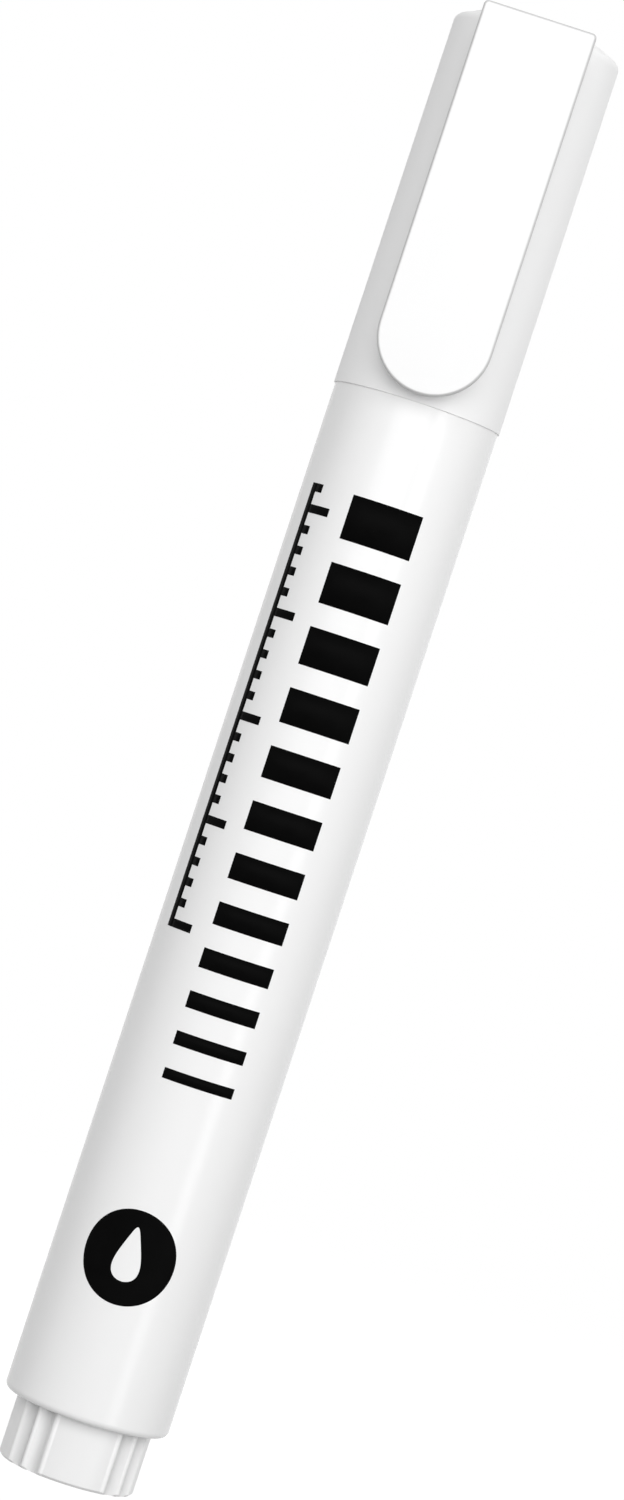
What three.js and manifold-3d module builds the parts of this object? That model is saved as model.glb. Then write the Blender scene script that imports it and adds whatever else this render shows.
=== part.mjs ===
// Capped permanent marker with a spring valve, standing on its end plug.
// Millimetres, +Z up along the marker's axis, clip towards -Y, origin at the centre of the plug's end face.

import * as THREE from 'three';
import { mergeVertices } from 'three/addons/utils/BufferGeometryUtils.js';
import Module from 'manifold-3d';

const wasm = await Module();
wasm.setup();

// Clearances
const seatGap = 0.3;            // between faces that rest on each other
const pressClearance = 0.15;    // round a piece that is pressed in, per side
const slideClearance = 0.2;     // round a piece that slides, per side
const capClearance = 0.3;       // between the cap's bore and the barrel's neck, per side

// Barrel
const barrelDiameter = 15.8;
const barrelLength = 97.8;      // tail rim to cap shoulder, the part that shows
const barrelWall = 1.45;
const counterboreStep = 0.4;    // how much wider the bore is round the plug, per side
const tailEdgeRadius = 0.6;
const neckLength = 6.7;
const neckWall = 1.1;
const neckChamfer = 0.4;
const neckBoreDepth = 2.0;      // how far below the shoulder the neck's narrow bore starts
const snapRingGap = 0.15;       // snap ring to the cap's bore, per side
const snapRingWidth = 0.9;
const snapRingRise = 3.0;       // shoulder to the middle of the snap ring

// End plug
const plugShowing = 6.05;       // end face to the barrel's tail rim
const plugRimGap = 0.25;        // rib crest to the tail's bore, per side
const plugRibProud = 0.1;       // rib crest beyond the plain panels
const plugRibWidth = 0.5;
const plugFluteDepth = 0.55;    // panels down to the floor of the flutes between the ribs
const plugRibPitch = 17.5;      // degrees from rib to rib in a group
const plugRibsInGroup = 3;
const plugRibGroups = 4;
const plugRibTurn = -35.5;      // degrees from the clip to the middle of the nearest group
const plugEndChamfer = 0.25;
const plugFloor = 1.4;
const plugWall = 1.2;
const plugRecess = 1.2;         // tail rim to the plug's shoulder, up inside the barrel
const plugSkirtLength = 8.2;
const sealBeadGap = 0.05;       // crest of a seal bead to the tail's bore
const sealBeadHalf = 0.3;
const sealBeadCount = 2;

// Nose and nib
const skirtWall = 0.9;
const flangeHeight = 1.2;
const sealLandHeight = 3.5;     // cylinder that the inner cap seals on
const coneStep = 0.4;           // seal land to the foot of the cone, per side
const coneHeight = 12.35;
const noseTipWall = 0.45;
const nibDiameter = 4.5;
const nibShowing = 6.5;
const nibBulletLength = 4.2;
const nibTail = 5.9;            // how far the nib reaches down past the flange into the valve's chamber

// Valve
const casingWall = 0.8;
const casingFloor = 1.5;
const casingFlange = 1.5;
const springSideGap = 0.5;      // spring to casing wall
const wireDiameter = 0.45;
const springCoils = 4;          // open turns, between one closer turn at each end
const endTurnGap = 0.45;        // wire to wire in an end turn
const openTurnGap = 0.69;       // wire to wire in an open turn at rest
const rodHeadHeight = 0.9;
const rodHeadGap = 0.4;         // round the head, where the ink passes
const rodHeadNotches = 4;
const rodNotchRadius = 0.6;
const finSpan = 3.2;            // tip to tip of the cross fins
const finThickness = 0.7;
const seatHoleGap = 0.3;        // fins to the seat's hole
const sealSetback = 0.5;        // seal's edge inside the casing's bore
const sealHeight = 2.8;
const sealFootWall = 0.75;
const spigotRadius = 1.0;
const barbStep = 0.45;          // barb beyond the spigot
const barbHeight = 1.0;

// Mixing ball
const ballDiameter = 5.0;

// Cap
const capProud = 0.15;          // cap's rim beyond the barrel, per side
const capWall = 1.2;
const capTaper = 0.05;          // how much narrower the cap's top is, per side
const capTopFillet = 0.8;
const edgeLand = 0.1;           // flat that is left beside a rounded edge
const capRimChamfer = 0.25;
const innerCapWall = 0.8;
const innerCapClearance = 0.4;  // inner cap to cap bore
const nibHeadroom = 1.0;        // nib to the inner cap's roof
const nibSideRoom = 1.65;       // nib to the inner cap's wall
const postRadius = 2.0;
const postLength = 2.7;
const socketWall = 0.8;
const crownThickness = 1.2;
const crownProud = 0.45;        // crown and clip above the cap's edge
const crownEdgeChamfer = 0.25;
const crownSkirtWall = 0.9;
const crownSkirtDepth = 4.4;

// Clip
const clipWidth = 10.7;
const clipThickness = 1.3;
const clipStandOff = 0.6;       // back of the clip to the cap
const clipTipRise = 0.3;        // tip above the cap's rim
const clipEdgeRadius = 0.25;
const clipCornerRadius = 0.45;
const gripGap = 0.25;           // ridge on the clip's back to the cap
const gripRise = 3.2;           // tip to the middle of the ridge
const gripLength = 5.0;
const tongueWidth = 6.0;
const tongueThickness = 1.4;
const tongueEndGap = 1.2;       // end of the tongue to the crown's socket

// Facets
const shellSides = 48;
const innerSides = 32;
const roundSteps = 3;           // steps in a quarter of a small fillet
const wireSides = 5;
const wireStepsPerTurn = 8;

// Radii, from the barrel inwards and outwards
const barrelRadius = barrelDiameter / 2;
const barrelBore = barrelRadius - barrelWall;
const tailBore = barrelBore + counterboreStep;
const tailEdge = Math.min(tailEdgeRadius, barrelRadius - tailBore - edgeLand);
const capRadius = barrelRadius + capProud;
const capBore = capRadius - capWall;
const capTopRadius = capRadius - capTaper;
const capFillet = Math.min(capTopFillet, capTopRadius - capBore - edgeLand);
const neckRadius = capBore - capClearance;
const neckBore = neckRadius - neckWall;
const snapRingRadius = capBore - snapRingGap;
const skirtRadius = neckBore - pressClearance;
const skirtBore = skirtRadius - skirtWall;
const casingRadius = skirtBore - pressClearance;
const casingBore = casingRadius - casingWall;
const coilRadius = casingBore - springSideGap - wireDiameter / 2;
const seatHole = finSpan / 2 + seatHoleGap;
const sealRadius = casingBore - sealSetback;
const sealBore = spigotRadius + pressClearance;
const barbRadius = spigotRadius + barbStep;
const nibRadius = nibDiameter / 2;
const noseBore = nibRadius + slideClearance;
const noseTipRadius = noseBore + noseTipWall;
const innerCapRadius = capBore - innerCapClearance;
const innerCapBore = innerCapRadius - innerCapWall;
const sealLandRadius = innerCapBore - slideClearance;
const nibCoverBore = nibRadius + nibSideRoom;
const nibCoverRadius = nibCoverBore + innerCapWall;
const crownRadius = capBore - pressClearance;
const crownSkirtBore = crownRadius - crownSkirtWall;
const socketBore = postRadius + pressClearance;
const socketRadius = socketBore + socketWall;
const plugSkirtRadius = tailBore - pressClearance;
const plugRadius = tailBore - plugRimGap - plugRibProud;
const plugBore = plugRadius - plugFluteDepth - plugWall;

// Heights, from the end face upwards
const tailRimZ = plugShowing;
const plugShoulderZ = tailRimZ + plugRecess;
const plugTopZ = plugShoulderZ + plugSkirtLength;
const counterboreZ = plugTopZ + seatGap;
const shoulderZ = tailRimZ + barrelLength;
const neckTopZ = shoulderZ + neckLength;
const flangeZ = neckTopZ + seatGap;
const flangeTopZ = flangeZ + flangeHeight;
const landTopZ = flangeTopZ + sealLandHeight;
const noseTipZ = landTopZ + coneHeight;
const nibTipZ = noseTipZ + nibShowing;
const nibFootZ = flangeTopZ - nibTail;
const rodTopZ = nibFootZ - seatGap;
const rodHeadZ = rodTopZ - rodHeadHeight;
const springTopZ = rodHeadZ - seatGap;
const endTurnPitch = wireDiameter + endTurnGap;
const openTurnPitch = wireDiameter + openTurnGap;
const springFootZ = springTopZ - wireDiameter - 2 * endTurnPitch - springCoils * openTurnPitch;
const casingFloorTopZ = springFootZ - seatGap;
const casingFootZ = casingFloorTopZ - casingFloor;
const skirtFootZ = casingFootZ + casingFlange + seatGap;
const sealTopZ = casingFootZ - seatGap;
const sealFootZ = sealTopZ - sealHeight;
const barbTopZ = sealFootZ - seatGap / 2;
const capRimZ = shoulderZ + seatGap;
const innerCapRimZ = flangeTopZ + seatGap;
const roofZ = nibTipZ + nibHeadroom;
const roofTopZ = roofZ + innerCapWall;
const postTopZ = roofTopZ + postLength;
const crownUnderZ = postTopZ + seatGap;
const crownTopZ = crownUnderZ + crownThickness;
const capTopZ = crownTopZ - crownProud;

// Clip planes, towards -Y
const clipBackY = -(capRadius + clipStandOff);
const clipTipZ = capRimZ + clipTipRise;
const tongueTopZ = crownUnderZ - seatGap;
const tongueUnderZ = tongueTopZ - tongueThickness;
const gripHeight = clipStandOff - gripGap;

// A profile of radius and height, drawn counterclockwise, turned round the +Z axis
function revolve(profile, sides) {
  const points = profile.getPoints(roundSteps);
  const geometry = new THREE.LatheGeometry(points, sides);
  return geometry.rotateX(Math.PI / 2);
}

function profileFrom(radius, z) {
  return new THREE.Path().moveTo(radius, z);
}

// A straight round bar along the axis
function roundBar(radius, bottom, top, sides = innerSides) {
  const bar = new THREE.CylinderGeometry(radius, radius, top - bottom, sides);
  return bar.rotateX(Math.PI / 2).translate(0, 0, (bottom + top) / 2);
}

function block(lowX, highX, lowY, highY, lowZ, highZ) {
  const box = new THREE.BoxGeometry(highX - lowX, highY - lowY, highZ - lowZ);
  return box.translate((lowX + highX) / 2, (lowY + highY) / 2, (lowZ + highZ) / 2);
}

// Only positions are kept, and triangles that shrank to a line at a pole are left out
function solid(geometry) {
  const bare = new THREE.BufferGeometry();
  bare.setAttribute('position', geometry.getAttribute('position'));
  if (geometry.index) bare.setIndex(geometry.index);
  const merged = mergeVertices(bare, 1e-4);
  const corners = merged.index.array;
  const triangles = [];
  for (let i = 0; i < corners.length; i += 3) {
    const [a, b, c] = corners.subarray(i, i + 3);
    if (a !== b && b !== c && c !== a) triangles.push(a, b, c);
  }
  return new wasm.Manifold(new wasm.Mesh({
    numProp: 3,
    vertProperties: new Float32Array(merged.getAttribute('position').array),
    triVerts: new Uint32Array(triangles),
  }));
}

function geometryOf(manifold) {
  const mesh = manifold.getMesh();
  const geometry = new THREE.BufferGeometry();
  geometry.setAttribute('position', new THREE.BufferAttribute(mesh.vertProperties, 3));
  geometry.setIndex(new THREE.BufferAttribute(mesh.triVerts, 1));
  geometry.computeVertexNormals();
  return geometry;
}

function join(base, ...others) {
  return geometryOf(others.reduce((whole, other) => whole.add(solid(other)), solid(base)));
}

function cut(base, ...others) {
  return geometryOf(others.reduce((whole, other) => whole.subtract(solid(other)), solid(base)));
}

// Barrel: a tube with a counterbored tail, a cone between its two bores and a neck with a snap ring
function barrel() {
  const neckBoreZ = shoulderZ - neckBoreDepth;
  const ringZ = shoulderZ + snapRingRise;
  const ringHalf = snapRingWidth / 2;
  const profile = profileFrom(tailBore, tailRimZ)
    .lineTo(barrelRadius - tailEdge, tailRimZ)
    .absarc(barrelRadius - tailEdge, tailRimZ + tailEdge, tailEdge, -Math.PI / 2, 0)
    .lineTo(barrelRadius, shoulderZ)
    .lineTo(neckRadius, shoulderZ)
    .lineTo(neckRadius, ringZ - ringHalf)
    .lineTo(snapRingRadius, ringZ)
    .lineTo(neckRadius, ringZ + ringHalf)
    .lineTo(neckRadius, neckTopZ - neckChamfer)
    .lineTo(neckRadius - neckChamfer, neckTopZ)
    .lineTo(neckBore, neckTopZ)
    .lineTo(neckBore, neckBoreZ)
    .lineTo(barrelBore, neckBoreZ - (barrelBore - neckBore))
    .lineTo(barrelBore, counterboreZ)
    .lineTo(tailBore, counterboreZ)
    .lineTo(tailBore, tailRimZ);
  return revolve(profile, shellSides);
}

// End plug: a cup with a shoulder and a skirt with seal beads
function plugBody() {
  const beadPitch = plugSkirtLength / (sealBeadCount + 1);
  const profile = profileFrom(0, 0)
    .lineTo(plugRadius - plugEndChamfer, 0)
    .lineTo(plugRadius, plugEndChamfer)
    .lineTo(plugRadius, plugShoulderZ)
    .lineTo(plugSkirtRadius, plugShoulderZ);
  for (let bead = 1; bead <= sealBeadCount; bead += 1) {
    const beadZ = plugShoulderZ + bead * beadPitch;
    profile.lineTo(plugSkirtRadius, beadZ - sealBeadHalf)
      .lineTo(tailBore - sealBeadGap, beadZ)
      .lineTo(plugSkirtRadius, beadZ + sealBeadHalf);
  }
  profile.lineTo(plugSkirtRadius, plugTopZ - plugEndChamfer)
    .lineTo(plugSkirtRadius - plugEndChamfer, plugTopZ)
    .lineTo(plugBore, plugTopZ)
    .lineTo(plugBore, plugFloor)
    .lineTo(0, plugFloor);
  return revolve(profile, shellSides);
}

// One rib: a low round crest along the plug, with a sloped lower end
function plugRib(angle) {
  const root = plugRadius - plugFluteDepth;
  const crest = plugRadius + plugRibProud;
  const outline = new THREE.Shape()
    .moveTo(root, -plugRibWidth / 2)
    .lineTo(plugRadius, -plugRibWidth / 2)
    .absellipse(plugRadius, 0, plugRibProud, plugRibWidth / 2, -Math.PI / 2, Math.PI / 2)
    .lineTo(root, plugRibWidth / 2);
  const bar = new THREE.ExtrudeGeometry(outline, {
    depth: tailRimZ,
    bevelEnabled: false,
    curveSegments: roundSteps,
  });
  const slope = new THREE.BoxGeometry(crest, crest, Math.SQRT2 * plugEndChamfer);
  slope.rotateY(-Math.PI / 4).translate(crest, 0, 0);
  return cut(bar, slope).rotateZ(fromClip(angle));
}

// One flute between two ribs: a round bar whose chord is the space that the ribs leave
function plugFlute(angle) {
  const pitch = THREE.MathUtils.degToRad(plugRibPitch) * plugRadius;
  const halfChord = (pitch - plugRibWidth) / 2;
  const radius = (halfChord ** 2 + plugFluteDepth ** 2) / (2 * plugFluteDepth);
  const bar = roundBar(radius, -seatGap, tailRimZ, innerSides);
  return bar.translate(plugRadius - plugFluteDepth + radius, 0, 0).rotateZ(fromClip(angle));
}

// Angles round the marker are counted from the clip, towards +X
function fromClip(degrees) {
  return THREE.MathUtils.degToRad(degrees - 90);
}

function tailPlug() {
  const ribs = [];
  const flutes = [];
  for (let group = 0; group < plugRibGroups; group += 1) {
    const first = plugRibTurn + group * 360 / plugRibGroups - (plugRibsInGroup - 1) / 2 * plugRibPitch;
    for (let rib = 0; rib < plugRibsInGroup; rib += 1) {
      ribs.push(plugRib(first + rib * plugRibPitch));
    }
    for (let flute = 0; flute < plugRibsInGroup - 1; flute += 1) {
      flutes.push(plugFlute(first + (flute + 0.5) * plugRibPitch));
    }
  }
  return cut(join(plugBody(), ...ribs), ...flutes);
}

// Nose: skirt, flange and seal land in one turned outline, with a cone that hollows in towards the nib
function nibHolder() {
  const coneFoot = sealLandRadius - coneStep;
  const chamberTopZ = flangeTopZ - flangeHeight / 2;
  const profile = profileFrom(skirtBore, skirtFootZ)
    .lineTo(skirtRadius, skirtFootZ)
    .lineTo(skirtRadius, flangeZ)
    .lineTo(neckRadius, flangeZ)
    .lineTo(neckRadius, flangeTopZ)
    .lineTo(sealLandRadius, flangeTopZ)
    .lineTo(sealLandRadius, landTopZ)
    .lineTo(coneFoot, landTopZ);
  const coneSteps = 6;
  for (let step = 1; step <= coneSteps; step += 1) {
    const along = step / coneSteps;
    const radius = noseTipRadius + (coneFoot - noseTipRadius) * (1 - along) ** 2;
    profile.lineTo(radius, landTopZ + coneHeight * along);
  }
  profile.lineTo(noseBore, noseTipZ)
    .lineTo(noseBore, chamberTopZ + skirtBore - noseBore)
    .lineTo(skirtBore, chamberTopZ)
    .lineTo(skirtBore, skirtFootZ);
  return revolve(profile, innerSides);
}

// Nib: a felt rod with a bullet point and a chamfered foot
function nib() {
  const footChamfer = nibDiameter / 10;
  const profile = profileFrom(0, nibFootZ)
    .lineTo(nibRadius - footChamfer, nibFootZ)
    .lineTo(nibRadius, nibFootZ + footChamfer)
    .lineTo(nibRadius, nibTipZ - nibBulletLength);
  const bulletSteps = 6;
  for (let step = 1; step <= bulletSteps; step += 1) {
    const turn = (step / bulletSteps) * Math.PI / 2;
    const radius = step < bulletSteps ? nibRadius * Math.cos(turn) : 0;
    profile.lineTo(radius, nibTipZ - nibBulletLength * (1 - Math.sin(turn)));
  }
  return revolve(profile, innerSides);
}

// Valve casing: a cup in the nose's skirt, with a flange below the skirt and a hole for the stem
function valveCasing() {
  const flangeTop = skirtFootZ - seatGap;
  const profile = profileFrom(seatHole, casingFootZ)
    .lineTo(skirtRadius, casingFootZ)
    .lineTo(skirtRadius, flangeTop)
    .lineTo(casingRadius, flangeTop)
    .lineTo(casingRadius, rodTopZ + rodHeadHeight)
    .lineTo(casingBore, rodTopZ + rodHeadHeight)
    .lineTo(casingBore, casingFloorTopZ)
    .lineTo(seatHole, casingFloorTopZ)
    .lineTo(seatHole, casingFootZ);
  return revolve(profile, innerSides);
}

// Valve stem: notched head, crossed fins through the seat, spigot and barb for the rubber seal
function valveRod() {
  const headRadius = casingBore - rodHeadGap;
  const head = revolve(profileFrom(0, rodHeadZ)
    .lineTo(headRadius, rodHeadZ)
    .lineTo(headRadius, rodTopZ)
    .lineTo(0, rodTopZ), innerSides);
  const finHalf = finThickness / 2;
  const finReach = finSpan / 2;
  const finTopZ = rodHeadZ + rodHeadHeight / 2;
  const finA = block(-finReach, finReach, -finHalf, finHalf, sealTopZ, finTopZ);
  const finB = block(-finHalf, finHalf, -finReach, finReach, sealTopZ, finTopZ);
  const spigot = roundBar(spigotRadius, barbTopZ - barbHeight / 2, sealTopZ + finThickness, innerSides / 2);
  const barb = revolve(profileFrom(0, barbTopZ - barbHeight)
    .lineTo(spigotRadius, barbTopZ - barbHeight)
    .lineTo(barbRadius, barbTopZ)
    .lineTo(0, barbTopZ), innerSides / 2);
  const notches = [];
  for (let notch = 0; notch < rodHeadNotches; notch += 1) {
    const turn = ((notch + 0.5) / rodHeadNotches) * Math.PI * 2;
    const hole = roundBar(rodNotchRadius, rodHeadZ - seatGap, rodTopZ + seatGap, wireSides * 2);
    notches.push(hole.translate(headRadius * Math.cos(turn), headRadius * Math.sin(turn), 0));
  }
  return cut(join(head, finA, finB, spigot, barb), ...notches);
}

// Rubber seal: a ring on the spigot, widest where it closes the seat's hole
function valveSeal() {
  const lipHeight = sealHeight / 3;
  return revolve(profileFrom(sealBore, sealFootZ)
    .lineTo(sealBore + sealFootWall, sealFootZ)
    .lineTo(sealRadius, sealTopZ - lipHeight)
    .lineTo(sealRadius, sealTopZ - lipHeight / 2)
    .lineTo(sealRadius - lipHeight / 2, sealTopZ)
    .lineTo(sealBore, sealTopZ)
    .lineTo(sealBore, sealFootZ), innerSides);
}

// Where the wire's centre is after some turns: one closer turn, the open turns, one closer turn
function wireCentre(turn) {
  const startTurn = Math.min(turn, 1);
  const endTurn = Math.max(turn - 1 - springCoils, 0);
  const openTurns = turn - startTurn - endTurn;
  const rise = (startTurn + endTurn) * endTurnPitch + openTurns * openTurnPitch;
  const angle = turn * Math.PI * 2;
  return new THREE.Vector3(
    coilRadius * Math.cos(angle),
    coilRadius * Math.sin(angle),
    springFootZ + wireDiameter / 2 + rise,
  );
}

// Least gap of the wire to its own next turn, measured on its centre points
function leastWireGap(turns) {
  let least = Infinity;
  for (let i = 0; i <= turns * wireStepsPerTurn; i += 1) {
    for (let j = i + wireStepsPerTurn / 2; j <= turns * wireStepsPerTurn; j += 1) {
      const apart = wireCentre(i / wireStepsPerTurn).distanceTo(wireCentre(j / wireStepsPerTurn));
      least = Math.min(least, apart - wireDiameter);
    }
  }
  return least;
}

// Valve spring: one unbroken wire, swept as rings of points along a helix
function valveSpring() {
  const turns = springCoils + 2;
  const rings = turns * wireStepsPerTurn;
  console.log(`valve spring: least gap to itself ${leastWireGap(turns).toFixed(2)} mm`);
  const positions = [];
  for (let ring = 0; ring <= rings; ring += 1) {
    const centre = wireCentre(ring / wireStepsPerTurn);
    const outwards = new THREE.Vector3(centre.x, centre.y, 0).normalize();
    for (let side = 0; side < wireSides; side += 1) {
      const round = (side / wireSides) * Math.PI * 2;
      const point = centre.clone().addScaledVector(outwards, wireDiameter / 2 * Math.cos(round));
      point.z += wireDiameter / 2 * Math.sin(round);
      positions.push(...point.toArray());
    }
  }
  const corners = [];
  for (let ring = 0; ring < rings; ring += 1) {
    for (let side = 0; side < wireSides; side += 1) {
      const here = ring * wireSides + side;
      const beside = ring * wireSides + (side + 1) % wireSides;
      corners.push(here, here + wireSides, beside, beside, here + wireSides, beside + wireSides);
    }
  }
  const last = rings * wireSides;
  for (let side = 1; side < wireSides - 1; side += 1) {
    corners.push(0, side, side + 1);
    corners.push(last, last + side + 1, last + side);
  }
  const wire = new THREE.BufferGeometry();
  wire.setAttribute('position', new THREE.Float32BufferAttribute(positions, 3));
  wire.setIndex(corners);
  wire.computeVertexNormals();
  return wire;
}

// Mixing ball: it lies on the plug's floor
function mixingBall() {
  const ball = new THREE.SphereGeometry(ballDiameter / 2, innerSides / 2, innerSides / 4);
  return ball.rotateX(Math.PI / 2).translate(0, 0, plugFloor + seatGap + ballDiameter / 2);
}

// Cap shell: a tapered tube with a rounded top edge, open at the top for the crown and notched for the clip
function capShell() {
  const grooveZ = shoulderZ + snapRingRise;
  const grooveBore = capBore + snapRingGap;
  const profile = profileFrom(capBore + capRimChamfer, capRimZ)
    .lineTo(capRadius - capRimChamfer, capRimZ)
    .lineTo(capRadius, capRimZ + capRimChamfer)
    .lineTo(capTopRadius, capTopZ - capFillet)
    .absarc(capTopRadius - capFillet, capTopZ - capFillet, capFillet, 0, Math.PI / 2)
    .lineTo(capBore, capTopZ)
    .lineTo(capBore, grooveZ + snapRingWidth)
    .lineTo(grooveBore, grooveZ)
    .lineTo(capBore, grooveZ - snapRingWidth)
    .lineTo(capBore, capRimZ + capRimChamfer)
    .lineTo(capBore + capRimChamfer, capRimZ);
  const notchHalf = tongueWidth / 2 + seatGap;
  const notch = block(-notchHalf, notchHalf, clipBackY, 0, tongueUnderZ - seatGap, crownTopZ + seatGap);
  return cut(revolve(profile, shellSides), notch);
}

// Inner cap: a stepped cup that seals on the nose, with a post that plugs into the crown
function innerCap() {
  const coverZ = noseTipZ - coneHeight / 6;
  const stepZ = landTopZ + coneStep;
  const profile = profileFrom(innerCapBore, innerCapRimZ)
    .lineTo(innerCapRadius, innerCapRimZ)
    .lineTo(innerCapRadius, stepZ)
    .lineTo(nibCoverRadius, coverZ)
    .lineTo(nibCoverRadius, roofTopZ)
    .lineTo(postRadius, roofTopZ)
    .lineTo(postRadius, postTopZ)
    .lineTo(0, postTopZ);
  const inside = profileFrom(0, roofZ)
    .lineTo(nibCoverBore, roofZ)
    .lineTo(nibCoverBore, coverZ)
    .lineTo(innerCapBore, stepZ)
    .lineTo(innerCapBore, innerCapRimZ);
  const outline = new THREE.Path().setFromPoints([...profile.getPoints(), ...inside.getPoints()]);
  return revolve(outline, innerSides);
}

// Crown plug: a disc with a skirt in the cap, a socket for the inner cap's post and a slot for the tongue
function crownPlug() {
  const crownFootZ = crownUnderZ - crownSkirtDepth;
  const socketFootZ = roofTopZ + seatGap;
  const profile = profileFrom(0, crownUnderZ)
    .lineTo(socketBore, crownUnderZ)
    .lineTo(socketBore, socketFootZ)
    .lineTo(socketRadius, socketFootZ)
    .lineTo(socketRadius, crownUnderZ)
    .lineTo(crownSkirtBore, crownUnderZ)
    .lineTo(crownSkirtBore, crownFootZ)
    .lineTo(crownRadius, crownFootZ)
    .lineTo(crownRadius, crownTopZ - crownEdgeChamfer)
    .lineTo(crownRadius - crownEdgeChamfer, crownTopZ)
    .lineTo(0, crownTopZ);
  const slotHalf = tongueWidth / 2 + seatGap;
  const slot = block(-slotHalf, slotHalf, clipBackY, -socketRadius, tongueUnderZ - seatGap, crownUnderZ);
  return cut(revolve(profile, shellSides), slot);
}

// Clip: a flat blade with a round tip, a root that fills the cap's notch, a tongue and a grip ridge
function clip() {
  const half = clipWidth / 2 - clipEdgeRadius;
  const top = crownTopZ - clipEdgeRadius;
  const corner = clipCornerRadius - clipEdgeRadius;
  const tipCentreZ = clipTipZ + clipWidth / 2;
  const outline = new THREE.Shape().moveTo(half, tipCentreZ).lineTo(half, top - corner);
  outline.absarc(half - corner, top - corner, corner, 0, Math.PI / 2);
  outline.absarc(corner - half, top - corner, corner, Math.PI / 2, Math.PI);
  outline.absarc(0, tipCentreZ, half, Math.PI, Math.PI * 2);
  const blade = new THREE.ExtrudeGeometry(outline, {
    depth: clipThickness - 2 * clipEdgeRadius,
    bevelThickness: clipEdgeRadius,
    bevelSize: clipEdgeRadius,
    bevelSegments: 2,
    curveSegments: roundSteps * 3,
  });
  blade.rotateX(Math.PI / 2).translate(0, clipBackY - clipEdgeRadius, 0);
  const tongueHalf = tongueWidth / 2;
  const overlap = clipThickness / 2;
  const rootY = -(crownRadius + seatGap);
  const rootTopZ = crownTopZ - clipEdgeRadius;
  const root = block(-tongueHalf, tongueHalf, clipBackY - overlap, rootY, tongueUnderZ, rootTopZ);
  const tongueEndY = -(socketRadius + tongueEndGap);
  const tongue = block(-tongueHalf, tongueHalf, clipBackY - overlap, tongueEndY, tongueUnderZ, tongueTopZ);
  const ridge = new THREE.CylinderGeometry(1, 1, gripLength, innerSides / 2);
  ridge.scale(gripHeight, 1, gripHeight * 2).rotateZ(Math.PI / 2);
  ridge.translate(0, clipBackY, clipTipZ + gripRise);
  return join(blade, root, tongue, ridge);
}

// Finishes
function finish(color, roughness, metalness = 0) {
  return new THREE.MeshStandardMaterial({ color, roughness, metalness });
}

const marker = new THREE.Group();

function place(name, geometry, material) {
  const mesh = new THREE.Mesh(geometry, material);
  mesh.name = name;
  marker.add(mesh);
}

place('barrel', barrel(), finish(0xf4f4f2, 0.25));
place('tail_plug', tailPlug(), finish(0xeeeeec, 0.45));
place('nib_holder', nibHolder(), finish(0xf0f0ee, 0.4));
place('nib', nib(), finish(0xf6f4ee, 0.9));
place('valve_casing', valveCasing(), finish(0xe8e8e4, 0.5));
place('valve_rod', valveRod(), finish(0xe4e4e0, 0.5));
place('valve_seal', valveSeal(), finish(0x2c2c2c, 0.8));
place('valve_spring', valveSpring(), finish(0xb8bcc0, 0.3, 1));
place('mixing_ball', mixingBall(), finish(0xc0c4c8, 0.2, 1));
place('cap_shell', capShell(), finish(0xeceded, 0.5));
place('inner_cap', innerCap(), finish(0xe6e6e2, 0.5));
place('crown_plug', crownPlug(), finish(0xeceded, 0.5));
place('clip', clip(), finish(0xfafafa, 0.35));

export default marker;
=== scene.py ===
# %% [markdown]
# A capped white marker in Blender
# The marker stands on its ribbed end plug with its axis along +Z and its clip towards -Y.
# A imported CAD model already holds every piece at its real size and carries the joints. This script
# dresses it: it makes each visible piece again as a fine surface, gives it a finish and lights it.
# The marker's sizes are written in millimetres, because that is how a maker thinks of a pen, and
# the factor MM turns them into Blender's metres. Only the room around it is written in metres.

# %% Load the fixed frame
import math
import bmesh
import bpy
import numpy as np
from mathutils import Matrix, Vector


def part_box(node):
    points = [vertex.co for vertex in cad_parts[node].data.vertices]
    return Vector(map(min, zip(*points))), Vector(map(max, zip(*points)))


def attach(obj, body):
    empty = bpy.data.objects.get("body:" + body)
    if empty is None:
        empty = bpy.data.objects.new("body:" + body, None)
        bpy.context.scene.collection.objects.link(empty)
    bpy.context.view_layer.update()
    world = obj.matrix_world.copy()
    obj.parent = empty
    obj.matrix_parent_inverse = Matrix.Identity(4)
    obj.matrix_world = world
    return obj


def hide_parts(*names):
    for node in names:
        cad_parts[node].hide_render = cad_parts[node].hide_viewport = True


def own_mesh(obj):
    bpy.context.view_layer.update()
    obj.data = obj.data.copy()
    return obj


MM = 0.001
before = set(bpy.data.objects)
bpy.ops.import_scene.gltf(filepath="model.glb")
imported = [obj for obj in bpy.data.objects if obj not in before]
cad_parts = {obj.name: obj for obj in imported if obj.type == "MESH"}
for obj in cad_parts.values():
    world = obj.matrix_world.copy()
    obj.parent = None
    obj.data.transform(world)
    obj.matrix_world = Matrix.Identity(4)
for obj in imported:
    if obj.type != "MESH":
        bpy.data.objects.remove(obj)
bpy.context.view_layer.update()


# %% [markdown]
# Sizes from the frame
# A turned piece is known by three numbers: how far it reaches from the axis, where its foot is and
# where its top is. Reading them from the CAD nodes keeps the dressed pieces in their seats, so only
# the small shapes between those limits are given one by one. Turns round the axis are counted from
# +X towards +Y, so the clip's side lies at -90 degrees.

# %% Measure the turned pieces
def reach(node):
    """Radius, foot and top of a CAD node in millimetres, read from its box."""
    low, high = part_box(node)
    return high.x / MM, low.z / MM, high.z / MM


barrel_radius, tail_rim, neck_top = reach("barrel")
cap_radius, cap_rim, cap_top = reach("cap_shell")
plug_skirt_crest, plug_foot, plug_top = reach("tail_plug")
rest_gap = 0.3
shoulder = cap_rim - rest_gap
clip_side = math.radians(-90)
print(f"barrel radius {barrel_radius:.2f}, tail rim {tail_rim:.2f}, shoulder {shoulder:.2f}")


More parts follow.
